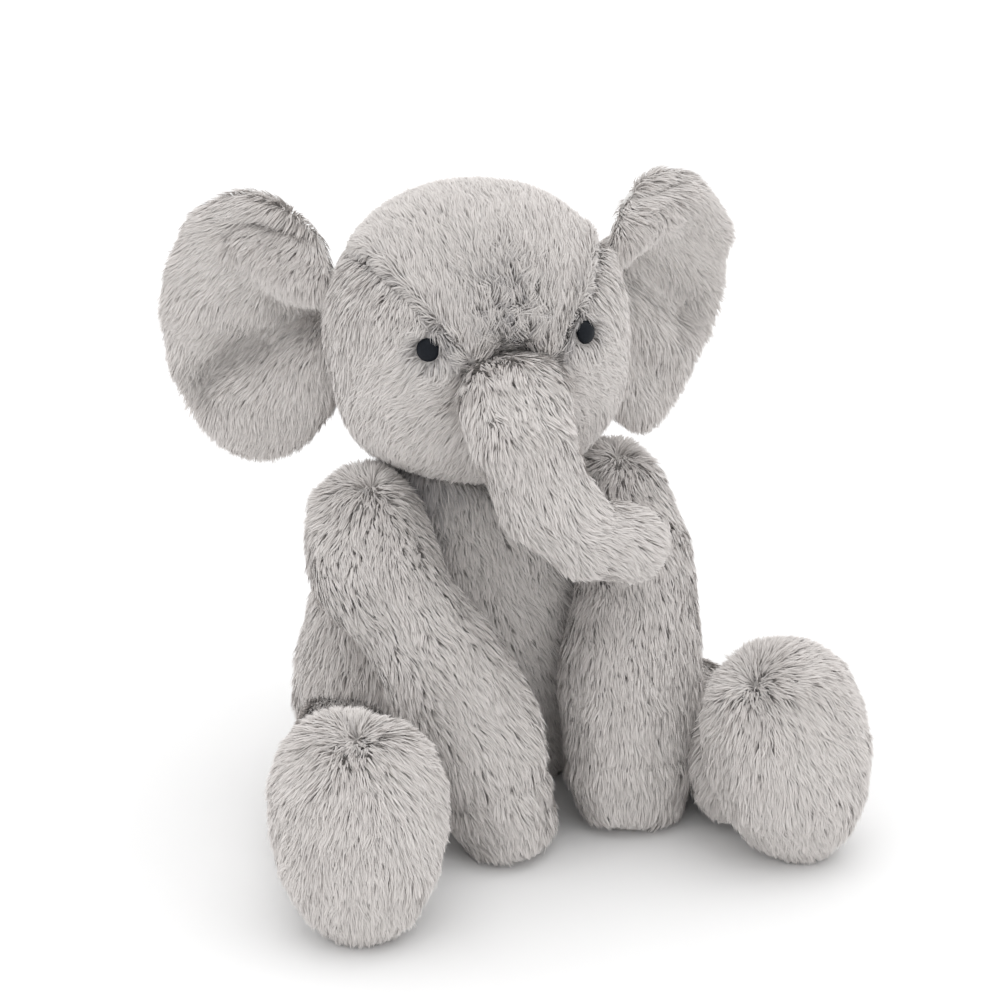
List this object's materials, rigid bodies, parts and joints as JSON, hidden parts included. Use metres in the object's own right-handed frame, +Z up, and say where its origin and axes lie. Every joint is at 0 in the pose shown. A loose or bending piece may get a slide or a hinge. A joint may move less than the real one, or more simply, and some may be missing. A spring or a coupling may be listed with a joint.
{
  "type": "stuffed elephant",
  "caption": "Seated plush elephant in short grey pile: ball head, round ears, long trunk, soft jointed limbs with weighted paws and feet.",
  "frame": {"origin": "middle of the flat seat face, on the surface that the toy sits on", "axes": "+Z up, the toy faces -Y, its own left side is +X"},
  "size_m": [0.2587, 0.2339, 0.271],
  "materials": {
    "fur": "matte",
    "fibre": "matte",
    "bead_cloth": "matte",
    "eye_plastic": "satin",
    "washer_plastic": "satin",
    "thread": "matte"
  },
  "bodies": {
    "torso": {"seat_panel": "fur", "torso_front_panel": "fur", "torso_back_panel": "fur", "torso_filling": "fibre", "seat_bead_bag": "bead_cloth"},
    "neck": {"neck_thread": "thread"},
    "head": {"head_gusset": "fur", "head_cheek_left": "fur", "head_cheek_right": "fur", "head_filling": "fibre", "eye_left": "eye_plastic", "eye_washer_left": "washer_plastic", "eye_right": "eye_plastic", "eye_washer_right": "washer_plastic"},
    "trunk": {"trunk_upper_panel": "fur", "trunk_under_panel": "fur", "trunk_filling": "fibre"},
    "tail": {"tail": "fur"},
    "ear_left": {"ear_left_front_panel": "fur", "ear_left_back_panel": "fur", "ear_left_wadding": "fibre"},
    "arm_left": {"arm_left_outer_panel": "fur", "arm_left_inner_panel": "fur", "arm_left_filling": "fibre", "paw_left_bead_bag": "bead_cloth"},
    "leg_left": {"sole_left": "fur", "leg_left_outer_panel": "fur", "leg_left_inner_panel": "fur", "leg_left_filling": "fibre", "foot_left_bead_bag": "bead_cloth"},
    "ear_right": {"ear_right_front_panel": "fur", "ear_right_back_panel": "fur", "ear_right_wadding": "fibre"},
    "arm_right": {"arm_right_outer_panel": "fur", "arm_right_inner_panel": "fur", "arm_right_filling": "fibre", "paw_right_bead_bag": "bead_cloth"},
    "leg_right": {"sole_right": "fur", "leg_right_outer_panel": "fur", "leg_right_inner_panel": "fur", "leg_right_filling": "fibre", "foot_right_bead_bag": "bead_cloth"}
  },
  "joints": [
    {"name": "head_turn", "type": "hinge", "parent": "torso", "child": "neck", "pos_m": [0, -0.014, 0.209], "axis": [0, 0, 1], "range_deg": [-20, 20]},
    {"name": "head_nod", "type": "hinge", "parent": "neck", "child": "head", "pos_m": [0, -0.014, 0.209], "axis": [1, 0, 0], "range_deg": [-15, 8]},
    {"name": "trunk_lift", "type": "hinge", "parent": "head", "child": "trunk", "pos_m": [-0.00976, -0.07928, 0.203], "axis": [-0.989, 0.1478, 0], "range_deg": [0, 45]},
    {"name": "ear_left_flap", "type": "hinge", "parent": "head", "child": "ear_left", "pos_m": [0.05974, 0.00341, 0.209], "axis": [0, 0, 1], "range_deg": [-18, 30]},
    {"name": "ear_right_flap", "type": "hinge", "parent": "head", "child": "ear_right", "pos_m": [-0.05204, 0.02011, 0.209], "axis": [0, 0, -1], "range_deg": [-18, 30]},
    {"name": "arm_left_swing", "type": "hinge", "parent": "torso", "child": "arm_left", "pos_m": [0.057, -0.029, 0.134], "axis": [-0.8731, 0.4361, 0.218], "range_deg": [0, 24]},
    {"name": "arm_right_swing", "type": "hinge", "parent": "torso", "child": "arm_right", "pos_m": [-0.057, -0.029, 0.134], "axis": [-0.9806, 0, -0.1959], "range_deg": [0, 75]},
    {"name": "leg_left_lift", "type": "hinge", "parent": "torso", "child": "leg_left", "pos_m": [0.062, -0.022, 0.03], "axis": [-0.9397, 0.3419, 0], "range_deg": [0, 35]},
    {"name": "leg_right_lift", "type": "hinge", "parent": "torso", "child": "leg_right", "pos_m": [-0.062, -0.022, 0.03], "axis": [-0.9397, -0.3419, 0], "range_deg": [0, 35]},
    {"name": "tail_wag", "type": "hinge", "parent": "torso", "child": "tail", "pos_m": [0, 0.049, 0.046], "axis": [0, 0, 1], "range_deg": [-35, 35]}
  ]
}
